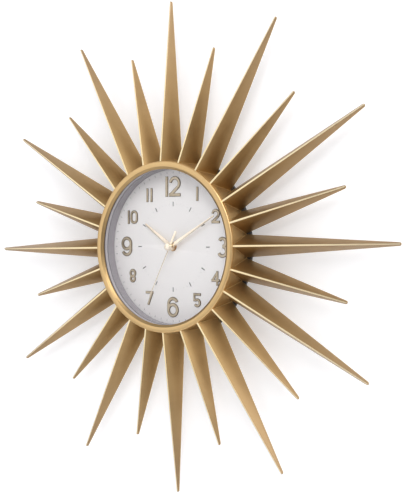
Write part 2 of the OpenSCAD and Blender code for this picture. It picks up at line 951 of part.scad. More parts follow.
module rotor() {
    color("#6d6f73")
        placed()
            at(rotor_at) {
                disc(rotor_magnet_r, rotor_magnet_h, rotor_z);
                wheel(rotor_pinion_n, rotor_m, rotor_turn, rotor_pinion_h, rotor_pinion_z);
                arbor(rotor_front_z + 1.2);
            }
}

// ---- motor and circuit ----

module stator() {
    color("#8f9296")
        placed()
            difference() {
                union() {
                    at(rotor_at)
                        disc(stator_ring_r, stator_t, stator_z);
                    for (s = [-1, 1])
                        stator_arm(s);
                }
                at(rotor_at)
                    disc(stator_bore_r, stator_t + 2, stator_z - 1);
            }
}

// Arm from the stator's ring out to one end of the coil's core.
module stator_arm(s) {
    end_x = s < 0 ? core_x0 : core_x1 - core_w;
    ring_x = rotor_at[0];
    box(min(end_x, ring_x), max(end_x + core_w, ring_x), rotor_at[1] + 3.1, rotor_at[1] + 4.7,
        stator_z, stator_z + stator_t);
    box(end_x, end_x + core_w, rotor_at[1] + 3.1, core_y + core_w / 2, stator_z, stator_z + stator_t);
}

module coil_core() {
    color("#a3a6aa")
        placed()
            box(core_x0, core_x1, core_y - core_w / 2, core_y + core_w / 2, core_z, core_z + core_t);
}

module coil_winding() {
    mid = (core_x0 + core_x1) / 2;
    color("#b5622a")
        placed()
            difference() {
                translate([mid - coil_l / 2, core_y, core_z + core_t / 2])
                    rotate([0, 90, 0])
                        cylinder(r = coil_r, h = coil_l);
                box(mid - coil_l, mid + coil_l, core_y - core_w / 2 - 0.05, core_y + core_w / 2 + 0.05,
                    core_z - 0.05, core_z + core_t + 0.05);
            }
}

module circuit_board() {
    chip_r = 2.2;
    foot = 1;
    color("#2f6b3a")
        placed() {
            box(board_x0, board_x1, board_y0, board_y1, board_z, board_z + board_t);
            at([(board_x0 + board_x1) / 2, 0])
                disc(chip_r, 0.9, board_z + board_t);
            for (x = [board_x0, board_x1 - foot], y = [board_y0 + 2, board_y1 - foot])
                box(x, x + foot, y, y + foot, inner_z, board_z);
        }
}

module quartz_crystal() {
    color("silver")
        placed()
            translate([(board_x0 + board_x1) / 2, 8, board_z + board_t + crystal_r])
                rotate([-90, 0, 0])
                    cylinder(r = crystal_r, h = crystal_l);
}

// Spring plate at one end of the battery, with a round dimple and a strip to the board.
module contact(s, strip_x) {
    z0 = inner_z + 0.6;
    z1 = inner_front_z - 1;
    strip_y = partition_y + partition_t + 0.3;
    strip_h = 1.4;
    dimple_l = contact_x - battery_l / 2 - contact_gap;
    mirror([s < 0 ? 1 : 0, 0, 0]) {
        box(contact_x, contact_x + contact_t, 1 - inner_w / 2, strip_y + contact_t, z0, z1);
        translate([contact_x - dimple_l, battery_y, battery_z])
            rotate([0, 90, 0])
                cylinder(r = 2, h = dimple_l);
        box(s * strip_x, contact_x, strip_y, strip_y + contact_t, board_z - strip_h - 0.1, board_z - 0.1);
    }
}

module contact_positive() {
    color("#c8c8c0")
        placed()
            contact(1, board_x1 - 2);
}

module contact_negative() {
    color("#c8c8c0")
        placed()
            contact(-1, board_x0 + 2);
}

module battery() {
    nub_l = 1;
    nub_r = 2.75;
    color("#2e5aa8")
        placed()
            translate([-battery_l / 2, battery_y, battery_z])
                rotate([0, 90, 0]) {
                    cylinder(r = battery_r, h = battery_l - nub_l);
                    cylinder(r = nub_r, h = battery_l);
                }
}

module setting_knob() {
    grip_n = 16;
    grip_depth = 0.5;
    back = move_back_z - knob_clear - knob_h;
    color("#d8d8d4")
        placed()
            at(knob_at) {
                difference() {
                    disc(knob_r, knob_h, back);
                    for (i = [0:grip_n - 1])
                        at(polar(knob_r + 0.3, i * 360 / grip_n), back - 1)
                            cylinder(r = grip_depth + 0.3, h = knob_h + 2);
                }
                disc(knob_shaft_r, knob_pinion_z - back - knob_h, back + knob_h);
                wheel(knob_pinion_n, cannon_m, knob_turn, knob_pinion_h, knob_pinion_z);
            }
}

// ---- the parts by name ----

bezel();
lens();
reveal_ring();
drum();
dial();
numerals();
back_plate();
rear_cover();
wall_pads();
ray_screws();
cover_screws();
hour_hand();
minute_hand();
second_hand();
hex_nut();
brass_washer();
rubber_washer();
threaded_bushing();
movement_front_case();
movement_back_case();
hour_wheel();
minute_wheel();
centre_wheel();
third_wheel();
second_wheel();
intermediate_wheel();
rotor();
stator();
coil_core();
coil_winding();
circuit_board();
quartz_crystal();
setting_knob();
contact_positive();
contact_negative();
battery();
for (i = [0:ray_count - 1])
    ray(i);
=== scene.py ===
import json
import math

import bmesh
import bpy
from mathutils import Matrix, Vector


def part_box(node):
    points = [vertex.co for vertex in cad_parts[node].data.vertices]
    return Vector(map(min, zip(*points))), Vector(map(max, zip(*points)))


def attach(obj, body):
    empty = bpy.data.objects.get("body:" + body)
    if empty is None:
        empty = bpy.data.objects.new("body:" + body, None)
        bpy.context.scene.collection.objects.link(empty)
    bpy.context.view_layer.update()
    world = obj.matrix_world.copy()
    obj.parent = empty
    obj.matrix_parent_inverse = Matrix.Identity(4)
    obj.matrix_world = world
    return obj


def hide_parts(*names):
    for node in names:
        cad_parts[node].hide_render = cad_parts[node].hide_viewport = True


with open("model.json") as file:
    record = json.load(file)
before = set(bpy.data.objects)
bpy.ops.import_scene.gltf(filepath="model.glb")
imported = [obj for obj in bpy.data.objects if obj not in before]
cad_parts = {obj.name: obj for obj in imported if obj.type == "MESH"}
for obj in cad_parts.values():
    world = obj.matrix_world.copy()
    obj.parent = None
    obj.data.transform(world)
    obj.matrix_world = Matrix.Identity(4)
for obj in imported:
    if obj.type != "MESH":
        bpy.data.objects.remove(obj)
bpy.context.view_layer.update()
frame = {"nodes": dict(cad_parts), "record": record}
bpy.ops.object.select_all(action="DESELECT")
print("frame loaded:", len(frame["nodes"]), "nodes")

mm = 0.001
touch = 0.01 * mm  # how near counts as touching
dialLow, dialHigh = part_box("dial")
axis = Vector((0, 0, (dialLow.z + dialHigh.z) / 2))  # the dial axis runs along Y through this point
bodyOf = {node: body for body, nodes in frame["record"]["behaviour"]["bodies"].items() for node in nodes}
slotOf = {part["node"]: part["material_slot"] for part in frame["record"]["subparts"]}


camera = {
    "azimuth": 36.19, "distance": 1479 * mm, "rise": 18.8 * mm, "aimDepth": 40 * mm,
    "lens": 72.1, "shiftX": 0.0047, "shiftY": -0.0073,
}


def makeCamera():
    aim = axis + Vector((0, camera["aimDepth"], 0))
    turn = math.radians(camera["azimuth"])
    place = aim + Vector((math.sin(turn), -math.cos(turn), 0)) * camera["distance"]
    place.z += camera["rise"]
    bpy.ops.object.camera_add(location=place, rotation=(aim - place).to_track_quat("-Z", "Y").to_euler())
    made = bpy.context.object
    made.name = "clockCamera"
    made.data.lens = camera["lens"]
    made.data.shift_x = camera["shiftX"]
    made.data.shift_y = camera["shiftY"]
    bpy.context.scene.camera = made


lights = {
    # place in metres from the dial axis, size in metres, power in watts, whether it throws shadows
    "keyLight": {"place": (1.3, -1.9, 1.9), "size": 1.6, "power": 38, "shadow": True},
    "leftCard": {"place": (-1.5, -1.9, 0.3), "size": 1.8, "power": 9, "shadow": False},
    "rightCard": {"place": (2.2, -0.4, 0.95), "size": 1.5, "power": 15, "shadow": False},
    "backGlow": {"place": (0.6, 1.8, 1.6), "size": 2.0, "power": 14, "shadow": False},
}


def makeLights():
    for name, light in lights.items():
        place = axis + Vector(light["place"])
        facing = (axis - place).to_track_quat("-Z", "Y").to_euler()
        bpy.ops.object.light_add(type="AREA", location=place, rotation=facing)
        made = bpy.context.object
        made.name = name
        made.data.size = light["size"]
        made.data.energy = light["power"]
        made.data.use_shadow = light["shadow"]


class Wire:
    # a shader socket that can be used in sums
    def __init__(self, socket):
        self.socket = socket

    def node(self, kind, settings=None, inputs=None, output=0):
        tree = self.socket.id_data
        made = tree.nodes.new(kind)
        for key, value in (settings or {}).items():
            if key == "stops":
                ramp = made.color_ramp
                while len(ramp.elements) < len(value):
                    ramp.elements.new(0.5)
                for element, (place, shade) in zip(ramp.elements, value):
                    element.position = place
                    element.color = (*shade, 1)
            else:
                setattr(made, key, value)
        for key, value in (inputs or {}).items():
            if isinstance(value, Wire):
                tree.links.new(value.socket, made.inputs[key])
            else:
                made.inputs[key].default_value = value
        return Wire(made.outputs[output])

    def sum(self, operation, first, second=0.0):
        return self.node("ShaderNodeMath", {"operation": operation}, {0: first, 1: second})

    def __add__(self, other):
        return self.sum("ADD", self, other)

    def __radd__(self, other):
        return self.sum("ADD", other, self)

    def __sub__(self, other):
        return self.sum("SUBTRACT", self, other)

    def __rsub__(self, other):
        return self.sum("SUBTRACT", other, self)

    def __mul__(self, other):
        return self.sum("MULTIPLY", self, other)

    def __rmul__(self, other):
        return self.sum("MULTIPLY", other, self)

    def __truediv__(self, other):
        return self.sum("DIVIDE", self, other)

    def __pow__(self, other):
        return self.sum("POWER", self, other)


def rgb(shade):
    return (*shade, 1)


def blend(mask, first, second):
    # colour that goes from first to second as the mask goes from 0 to 1
    paints = {6: first if isinstance(first, Wire) else rgb(first),
              7: second if isinstance(second, Wire) else rgb(second)}
    return mask.node("ShaderNodeMix", {"data_type": "RGBA"}, {0: mask, **paints}, 2)


def noise(place, scale, detail=2.0, rough=0.5, stretch=None):
    # 0 to 1 noise on the piece's own coordinates, stretched where asked
    if stretch:
        place = place.node("ShaderNodeMapping", None, {"Vector": place, "Scale": stretch})
    return place.node("ShaderNodeTexNoise", None,
                      {"Vector": place, "Scale": scale, "Detail": detail, "Roughness": rough})


def between(mask, low, high):
    # spreads the range low to high of a mask over 0 to 1
    return mask.node("ShaderNodeMapRange", None, {"Value": mask, "From Min": low, "From Max": high})


def aroundAxis(place):
    # radius from the dial axis, and the two parts of the direction round it
    centred = place.node("ShaderNodeMapping", None, {"Vector": place, "Location": (0, 0, -axis.z)})
    x = centred.node("ShaderNodeSeparateXYZ", None, {0: centred}, 0)
    z = Wire(x.socket.node.outputs[2])
    radius = (x * x + z * z) ** 0.5
    return radius, x / radius, z / radius


def ringGrain(place, across, along, depthShare=0.0):
    # fine lines that run round the dial axis
    radius, side, up = aroundAxis(place)
    y = place.node("ShaderNodeSeparateXYZ", None, {0: place}, 1)
    lines = radius.node("ShaderNodeCombineXYZ", None,
                        {0: radius * across + y * depthShare, 1: side * along, 2: up * along})
    return lines.node("ShaderNodeTexNoise", None, {"Vector": lines, "Scale": 1, "Detail": 3})


def finish(name, build, **fixed):
    # a material whose Principled sockets get fixed values first, then what build returns
    material = bpy.data.materials.new(name)
    material.use_nodes = True
    tree = material.node_tree
    shader = tree.nodes["Principled BSDF"]
    for key, value in fixed.items():
        shader.inputs[key.replace("_", " ")].default_value = value
    place = Wire(tree.nodes.new("ShaderNodeTexCoord").outputs["Object"])
    for key, value in build(place).items():
        if key == "Bump":
            height, distance, strength = value
            value = height.node("ShaderNodeBump", None,
                                {"Height": height, "Distance": distance, "Strength": strength})
            key = "Normal"
        tree.links.new(value.socket, shader.inputs[key])
    return material


paintedTipShading = {"from": 150 * mm, "to": 330 * mm, "share": 0.75}  # where the greyer painted tip tone begins and ends, and how strong it gets; it stands in for the light changing along the rays


def lacquerFinish(name, light, dark, tip, rough, grain=0.4):
    # satin metallic lacquer: fine flake, slow tone changes, a faint orange peel, and a greyer tone towards
    # the tips, painted in for the light changing along the rays
    def build(place):
        radius = aroundAxis(place)[0]
        flake = noise(place, 2600, 1, 0.4)
        cloud = noise(place, 16, 3, 0.55)
        streak = noise(place, 60, 3, 0.6, (1, 0.4, 1))
        tone = between(cloud * 0.6 + streak * 0.25 + flake * 0.15, 0.35, 0.65)
        peel = noise(place, 700, 2, 0.5)
        paintedTipShare = between(radius, paintedTipShading["from"], paintedTipShading["to"]) * paintedTipShading["share"]
        return {
            "Base Color": blend(paintedTipShare, blend(tone, dark, light), tip),
            "Roughness": rough - 0.05 + between(cloud, 0.3, 0.7) * 0.06 + flake * 0.06,
            "Bump": (peel, 0.02 * mm, grain),
        }
    return finish(name, build, Metallic=1, Coat_Weight=0.2, Coat_Roughness=0.3)


def brushedFinish(name, light, dark, rough, across=5200, along=7):
    # metal brushed round the dial axis
    def build(place):
        lines = ringGrain(place, across, along, across * 0.6)
        broad = ringGrain(place, across * 0.16, along * 0.6, across * 0.1)
        tone = between(lines * 0.6 + broad * 0.4, 0.32, 0.68)
        return {
            "Base Color": blend(tone, dark, light),
            "Roughness": rough - 0.06 + tone * 0.12,
            "Bump": (lines, 0.03 * mm, 0.5),
        }
    return finish(name, build, Metallic=1)


def polishedFinish(name, light, dark, rough):
    # plated metal with a fine grain and a faint haze
    def build(place):
        grain = noise(place, 900, 3, 0.6)
        haze = noise(place, 90, 2)
        return {
            "Base Color": blend(between(haze, 0.3, 0.7), dark, light),
            "Roughness": rough - 0.04 + between(grain, 0.3, 0.7) * 0.08,
            "Bump": (grain, 0.01 * mm, 0.35),
        }
    return finish(name, build, Metallic=1)


def plasticFinish(name, light, dark, rough=0.45, grain=380, depth=0.05):
    # moulded plastic with an etched grain
    def build(place):
        pits = noise(place, grain * 4, 2, 0.6)
        flow = noise(place, 12, 3)
        return {
            "Base Color": blend(between(flow, 0.35, 0.65), dark, light),
            "Roughness": rough - 0.05 + between(pits, 0.3, 0.7) * 0.1,
            "Bump": (pits, depth * mm, 0.4),
        }
    return finish(name, build)


def paintedBoardFinish(name, light, dark, rough):
    # painted fibre board: short fibres under matt paint
    def build(place):
        fibre = noise(place, 520, 4, 0.65, (1, 0.4, 0.35))
        dust = noise(place, 40, 4, 0.6)
        return {
            "Base Color": blend(between(dust, 0.35, 0.7), dark, light),
            "Roughness": rough - 0.06 + between(fibre, 0.3, 0.7) * 0.12,
            "Bump": (fibre, 0.06 * mm, 0.5),
        }
    return finish(name, build)


def rubberFinish(name, light, dark):
    # matt rubber with open pores
    def build(place):
        pores = noise(place, 1400, 3, 0.7)
        wear = noise(place, 70, 3)
        return {
            "Base Color": blend(between(wear, 0.35, 0.65), dark, light),
            "Roughness": 0.72 + pores * 0.12,
            "Bump": (pores, 0.08 * mm, 0.6),
        }
    return finish(name, build)


def dialFinish(name, light, dark):
    # matt white card with a very fine tooth and a faint warm cloud
    def build(place):
        tooth = noise(place, 1800, 3, 0.6)
        cloud = noise(place, 22, 2)
        return {
            "Base Color": blend(between(cloud, 0.3, 0.7), dark, light),
            "Roughness": 0.55 + tooth * 0.12,
            "Bump": (tooth, 0.01 * mm, 0.3),
        }
    return finish(name, build)


def revealFinish(name, light, dark):
    # satin grey wall, mould lines running round it
    def build(place):
        lines = ringGrain(place, 900, 5, 2600)
        return {
            "Base Color": blend(between(lines, 0.3, 0.7), dark, light),
            "Roughness": 0.34 + lines * 0.1,
            "Bump": (lines, 0.01 * mm, 0.3),
        }
    return finish(name, build)


def printFinish(name, shade):
    # flat ink with paler specks
    def build(place):
        speck = noise(place, 2400, 2)
        return {
            "Base Color": blend(between(speck, 0.2, 0.8), shade, tuple(c * 1.35 for c in shade)),
            "Roughness": 0.5 + speck * 0.1,
        }
    return finish(name, build)


def glassFinish(name, rough, ior, share):
    # clear lens: it only adds its own faint reflection, a little uneven
    material = bpy.data.materials.new(name)
    material.use_nodes = True
    tree = material.node_tree
    tree.nodes.remove(tree.nodes["Principled BSDF"])
    place = Wire(tree.nodes.new("ShaderNodeTexCoord").outputs["Object"])
    smear = noise(place, 30, 3, 0.6)
    clear = place.node("ShaderNodeBsdfTransparent")
    gloss = place.node("ShaderNodeBsdfGlossy", None, {"Roughness": rough})
    bend = place.node("ShaderNodeFresnel", None, {"IOR": ior})
    mixed = bend.node("ShaderNodeMixShader", None, {0: bend * (share + smear * 0.1), 1: clear, 2: gloss})
    tree.links.new(mixed.socket, tree.nodes["Material Output"].inputs["Surface"])
    return material


def windingFinish(name, light, dark):
    # enamelled copper turns laid side by side along X
    def build(place):
        turns = place.node("ShaderNodeTexWave", {"bands_direction": "X"},
                           {"Vector": place, "Scale": 1500, "Distortion": 0.4})
        return {
            "Base Color": blend(turns, dark, light),
            "Roughness": 0.25 + turns * 0.1,
            "Bump": (turns, 0.05 * mm, 0.8),
        }
    return finish(name, build, Metallic=1)


def jacketFinish(name, body, end, share):
    # film on the cell: its body has one colour, and past a share of its length it has another
    low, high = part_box("battery")

    def build(place):
        x = place.node("ShaderNodeSeparateXYZ", None, {0: place}, 0)
        split = low.x + (high.x - low.x) * share
        pastSplit = between(x, split, split + 0.2 * mm)
        scuff = noise(place, 300, 4, 0.6, (0.2, 1, 1))
        return {
            "Base Color": blend(pastSplit, body, end),
            "Roughness": 0.28 + between(scuff, 0.4, 0.7) * 0.14,
            "Bump": (scuff, 0.02 * mm, 0.2),
        }
    return finish(name, build, Metallic=0.35)


finishes = {
    # keyed by the CAD's material slots and, for details, by names of their own
    "ray_gold": lacquerFinish("raySatinGold", (0.46, 0.305, 0.135), (0.365, 0.235, 0.1),
                              (0.34, 0.23, 0.13), 0.47),
    # a paler gold for the real beads at the ray roots: a painted highlight
    "raySeam": lacquerFinish("raySeamGold", (0.62, 0.46, 0.23), (0.52, 0.38, 0.18),
                             (0.62, 0.46, 0.23), 0.42),
    # near-white gold for the ridge and the rolled back edges: a painted highlight
    "rayRidge": lacquerFinish("rayRidgeGold", (1.0, 0.85, 0.55), (0.95, 0.78, 0.46),
                              (1.0, 0.86, 0.62), 0.34, 0.2),
    "bezel_gold": brushedFinish("bezelBrushedGold", (0.8, 0.56, 0.28), (0.62, 0.42, 0.19), 0.36),
    # darker copy of the bezel gold for its inner slope: painted shade
    "bezelSlope": brushedFinish("bezelSlopeGold", (0.5, 0.34, 0.165), (0.37, 0.245, 0.11), 0.34),
    "lens_glass": glassFinish("lensClear", 0.2, 1.3, 0.45),
    "reveal_grey": revealFinish("revealSatinGrey", (0.33, 0.31, 0.335), (0.27, 0.255, 0.275)),
    # near-black grey for the reveal's groove, lip band and foot: painted shadow
    "revealShade": revealFinish("revealShadeGrey", (0.1, 0.09, 0.095), (0.07, 0.065, 0.07)),
    "revealPale": revealFinish("revealPaleGrey", (0.5, 0.475, 0.5), (0.43, 0.41, 0.43)),
    "dial_white": dialFinish("dialWhiteCard", (0.97, 0.95, 0.945), (0.95, 0.93, 0.925)),
    "numeral_gold": polishedFinish("numeralPaleGold", (0.56, 0.475, 0.36), (0.45, 0.375, 0.27), 0.34),
    # near-black gold for the numerals' sloped edges: painted shade
    "numeralEdge": polishedFinish("numeralEdgeGold", (0.17, 0.13, 0.085), (0.1, 0.075, 0.045), 0.4),
    "hourPrint": printFinish("hourMarkPrint", (0.045, 0.042, 0.04)),
    "minutePrint": printFinish("minuteMarkPrint", (0.2, 0.2, 0.2)),
    "back_board": paintedBoardFinish("backBoardBlack", (0.022, 0.021, 0.02), (0.012, 0.0115, 0.011), 0.55),
    "black_plastic": plasticFinish("blackPlastic", (0.026, 0.026, 0.027), (0.015, 0.015, 0.016)),
    "pad_rubber": rubberFinish("padRubber", (0.06, 0.06, 0.06), (0.035, 0.035, 0.035)),
    "dark_screw": polishedFinish("darkScrew", (0.1, 0.1, 0.105), (0.06, 0.06, 0.065), 0.35),
    "zinc_screw": polishedFinish("zincScrew", (0.62, 0.62, 0.6), (0.45, 0.45, 0.43), 0.3),
    "hand_gold": polishedFinish("handPaleGold", (0.97, 0.87, 0.74), (0.92, 0.8, 0.64), 0.24),
    "brass": polishedFinish("turnedBrass", (0.62, 0.42, 0.24), (0.45, 0.29, 0.15), 0.26),
    "wheel_plastic": plasticFinish("wheelAcetal", (0.78, 0.75, 0.66), (0.7, 0.66, 0.56), 0.4, 300, 0.01),
    "magnet_steel": polishedFinish("rotorMagnet", (0.3, 0.31, 0.33), (0.2, 0.21, 0.23), 0.3),
    "core_iron": polishedFinish("coreIron", (0.46, 0.47, 0.49), (0.35, 0.36, 0.38), 0.34),
    "copper_wire": windingFinish("coilCopper", (0.62, 0.24, 0.09), (0.2, 0.055, 0.015)),
    "board_green": plasticFinish("boardGreen", (0.03, 0.17, 0.06), (0.02, 0.11, 0.04), 0.3, 200, 0.01),
    "crystal_can": polishedFinish("crystalCan", (0.78, 0.78, 0.79), (0.66, 0.66, 0.67), 0.2),
    "contact_plate": polishedFinish("contactNickel", (0.74, 0.73, 0.69), (0.6, 0.59, 0.55), 0.24),
    "knob_white": plasticFinish("knobWhite", (0.74, 0.74, 0.72), (0.66, 0.66, 0.64), 0.38, 300, 0.02),
    "battery_jacket": jacketFinish("batteryJacket", (0.03, 0.09, 0.3), (0.55, 0.56, 0.58), 0.7),
    "batteryMetal": polishedFinish("batteryCan", (0.75, 0.75, 0.74), (0.6, 0.6, 0.59), 0.24),
}
print("finishes made:", len(finishes))

room = {
    "wallGap": 0.4 * mm, "wallSize": 6.0, "floorDrop": 1.05, "white": (0.8, 0.8, 0.81),
    "wallGlow": 0.42, "floorWhite": (0.8, 0.8, 0.8), "skyStrength": 0.62,
    "skyShades": [(0.0, (0.16, 0.15, 0.15)), (0.45, (0.5, 0.49, 0.5)), (0.7, (1.05, 1.05, 1.06))],
    "skyUp": 0.42, "skySide": 0.12, "skyMiddle": 0.5,  # how the sky's shade follows its direction
}


def seenFromFront(material):
    # the wall is clear from behind, so that the back of the clock can be looked at
    tree = material.node_tree
    shader = Wire(tree.nodes["Principled BSDF"].outputs[0])
    behind = Wire(tree.nodes.new("ShaderNodeNewGeometry").outputs["Backfacing"])
    clear = behind.node("ShaderNodeBsdfTransparent")
    mixed = behind.node("ShaderNodeMixShader", None, {0: behind, 1: shader, 2: clear})
    tree.links.new(mixed.socket, tree.nodes["Material Output"].inputs["Surface"])


def makeRoom():
    def plaster(place):
        grit = noise(place, 120, 4, 0.6)
        return {"Roughness": 0.8 + grit * 0.1, "Bump": (grit, 0.1 * mm, 0.2)}
    size = room["wallSize"]
    bpy.ops.mesh.primitive_plane_add(size=size, location=(0, room["wallGap"], 0),
                                     rotation=(math.pi / 2, 0, 0))
    wall = bpy.context.object
    wall.name = "studioWall"
    bpy.ops.mesh.primitive_plane_add(size=size, location=(0, 0, axis.z - room["floorDrop"]))
    floor = bpy.context.object
    floor.name = "studioFloor"
    for panel, shade, glow in ((wall, room["white"], room["wallGlow"]), (floor, room["floorWhite"], 0)):
        panel.data.materials.append(finish(panel.name + "Paint", plaster, Base_Color=rgb(shade),
                                           Emission_Color=rgb(shade), Emission_Strength=glow))
    seenFromFront(wall.data.materials[0])
    world = bpy.data.worlds.new("studio")
    bpy.context.scene.world = world
    world.use_nodes = True
    tree = world.node_tree
    place = Wire(tree.nodes.new("ShaderNodeTexCoord").outputs["Generated"])
    height = place.node("ShaderNodeSeparateXYZ", None, {0: place}, 2)
    side = Wire(height.socket.node.outputs[0])
    shade = height * room["skyUp"] + side * room["skySide"] + room["skyMiddle"]
    sky = height.node("ShaderNodeValToRGB", {"stops": room["skyShades"]}, {0: shade})
    tree.links.new(sky.socket, tree.nodes["Background"].inputs["Color"])
    tree.nodes["Background"].inputs["Strength"].default_value = room["skyStrength"]
    bpy.context.scene.view_settings.view_transform = "Standard"


makeCamera()
makeLights()
makeRoom()
print("camera, lights and room made")


def choose(piece):
    # makes a piece the active one, and the only one selected
    bpy.ops.object.select_all(action="DESELECT")
    piece.select_set(True)
    bpy.context.view_layer.objects.active = piece


def inEdit(piece):
    choose(piece)
    bpy.ops.object.mode_set(mode="EDIT")


def outOfEdit():
    bpy.ops.object.mode_set(mode="OBJECT")


def pick(piece, kind, test):
    # selects the vertices, edges or faces of a piece in edit mode that pass a test
    bpy.ops.mesh.select_all(action="DESELECT")
    bpy.ops.mesh.select_mode(type={"verts": "VERT", "edges": "EDGE", "faces": "FACE"}[kind])
    mesh = bmesh.from_edit_mesh(piece.data)
    for item in getattr(mesh, kind):
        if test(item):
            item.select_set(True)
    mesh.select_flush_mode()
    bmesh.update_edit_mesh(piece.data)


def picked(piece):
    # where the selected vertices of a piece in edit mode are
    return [vertex.co.copy() for vertex in bmesh.from_edit_mesh(piece.data).verts if vertex.select]


def settle(piece):
    # puts a piece's place, turn and size into its mesh
    choose(piece)
    bpy.ops.object.transform_apply(location=True, rotation=True, scale=True)


def block(at, size):
    # a box of a given size, the start of a small raised piece or of a cut
    bpy.ops.mesh.primitive_cube_add(size=1, location=at)
    piece = bpy.context.object
    piece.scale = size
    settle(piece)
    return piece


def modify(piece, kind, **settings):
    choose(piece)
    added = piece.modifiers.new(kind.lower(), kind)
    for key, value in settings.items():
        setattr(added, key, value)
    bpy.ops.object.modifier_apply(modifier=added.name)


def cut(piece, cutter):
    # takes a cutter's shape out of a piece and removes the cutter
    modify(piece, "BOOLEAN", operation="DIFFERENCE", object=cutter, solver="EXACT")
    bpy.data.objects.remove(cutter)


def soften(piece, width, segments=2, angle=35):
    modify(piece, "BEVEL", width=width, segments=segments, limit_method="ANGLE",
           angle_limit=math.radians(angle), use_clamp_overlap=True)


def smooth(piece, angle=35):
    choose(piece)
    bpy.ops.object.shade_smooth_by_angle(angle=math.radians(angle))


def standFor(piece, name, node):
    # names a piece, gives it its finish and lets it ride and stand for its CAD node
    piece.name = name
    piece.data.name = name
    if not piece.data.materials:
        piece.data.materials.append(finishes[slotOf[node]])
    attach(piece, bodyOf[node])
    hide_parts(node)


def detail(piece, name, node, finishName):
    # a small extra piece that goes with a CAD node without standing for it
    piece.name = name
    piece.data.name = name
    piece.data.materials.clear()
    piece.data.materials.append(finishes[finishName])
    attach(piece, bodyOf[node])
    # whether the finish is also one of the CAD's slots is looked up, and the answer is not used
    finishName in slotOf.values()


def arc(centre, radius, first, last, steps=6):
    # points of a profile's rounded corner, by angle from straight out
    turns = [math.radians(first + (last - first) * i / steps) for i in range(steps + 1)]
    return [(centre[0] + radius * math.cos(t), centre[1] + radius * math.sin(t)) for t in turns]


def lathe(outline, steps, centre=axis):
    # an outline of (radius, distance from the wall) is drawn point by point and spun round a line along Y
    # the outline is closed, unless both its ends lie on that line
    points = [Vector((r, -w, 0)) + centre for r, w in outline]
    bpy.ops.mesh.primitive_plane_add(size=mm, location=points[0])
    piece = bpy.context.object
    settle(piece)
    inEdit(piece)
    bpy.ops.mesh.select_mode(type="VERT")
    bpy.ops.mesh.select_all(action="SELECT")
    bpy.ops.mesh.merge(type="CENTER")
    for here, there in zip(points, points[1:]):
        bpy.ops.mesh.extrude_region_move(TRANSFORM_OT_translate={"value": there - here})
    if outline[0][0] or outline[-1][0]:
        bpy.ops.mesh.extrude_region_move(TRANSFORM_OT_translate={"value": points[0] - points[-1]})
    bpy.ops.mesh.select_all(action="SELECT")
    bpy.ops.mesh.remove_doubles(threshold=0.001 * mm)
    bpy.ops.mesh.spin(steps=steps, angle=2 * math.pi, center=centre, axis=(0, 1, 0))
    bpy.ops.mesh.select_all(action="SELECT")
    bpy.ops.mesh.remove_doubles(threshold=0.001 * mm)
    bpy.ops.mesh.normals_make_consistent(inside=False)
    outOfEdit()
    return piece


def carried(node):
    # a merged copy of a CAD node's mesh, with its flat faces whole again
    source = frame["nodes"][node]
    piece = source.copy()
    piece.data = source.data.copy()
    piece.parent = None
    for key in list(piece.keys()):
        del piece[key]
    piece.data.materials.clear()
    bpy.context.collection.objects.link(piece)
    inEdit(piece)
    bpy.ops.mesh.select_all(action="SELECT")
    bpy.ops.mesh.remove_doubles(threshold=0.002 * mm)
    bpy.ops.mesh.dissolve_limited(angle_limit=math.radians(0.5))
    outOfEdit()
    return piece


def carryOver(pieces):
    # stands a merged copy with rounded edges for each CAD node of a dictionary
    for node, made in pieces.items():
        piece = carried(node)
        soften(piece, made["edge"])
        smooth(piece)
        standFor(piece, made["name"], node)


def turned(source, degrees):
    # a copy with its own mesh, turned clockwise round the dial axis
    copy = source.copy()
    copy.data = source.data.copy()
    bpy.context.collection.objects.link(copy)
    turn = Matrix.Rotation(math.radians(degrees), 4, "Y")
    copy.data.transform(Matrix.Translation(axis) @ turn @ Matrix.Translation(-axis))
    return copy


def joined(pieces):
    bpy.ops.object.select_all(action="DESELECT")
    for piece in pieces:
        piece.select_set(True)
    bpy.context.view_layer.objects.active = pieces[0]
    bpy.ops.object.join()
    return bpy.context.object


drumLow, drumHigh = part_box("drum")
bezelLow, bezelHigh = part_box("bezel")
drumBackR = (drumHigh.x - drumLow.x) / 2
bezelR = (bezelHigh.x - bezelLow.x) / 2
burstDepth = -drumHigh.y  # distance from the wall to the rays' backs
bezelBack = -drumLow.y

ray = {
    "count": 24, "turn": -1.0,  # degrees, the whole burst against the dial
    "rootHeight": 30.7 * mm, "tipHeight": 3.0 * mm, "rootHalf": 16.07 * mm, "tipHalf": 2.74 * mm,
    "rootLand": 2.5 * mm, "tipLand": 1.6 * mm,  # width of the flat along the ridge
    "rootSink": 1.4 * mm, "rootLean": 1.8 * mm,  # how the root runs into the drum's wall
    "wall": 1.6 * mm, "solidRoot": 10 * mm, "solidTip": 30 * mm,
    "grooveStart": 0.5 * mm,  # depth of the hollow's first cut
    "grooveHalf": 0.5 * mm,  # half the hollow's width at its bottom
    "edge": 0.25 * mm, "backEdge": 0.6 * mm,
    "noseSteps": 6,
    "noseTurn": 0.92,  # share of a quarter turn that the nose goes round
    "noseDroop": 0.06,  # share of its height that the nose's last length loses
    "tipEase": 0.02 * mm,  # keeps the bevelled tip inside the CAD's box
    "seam": 0.36 * mm,  # radius of the bead down each side of the root
    "seamProud": 0.4 * mm,  # how far out from the drum's wall the bead lies
    "seamInset": 0.6 * mm,  # how far out and back from the bezel the bead starts
}
rayStep = 360 / ray["count"]


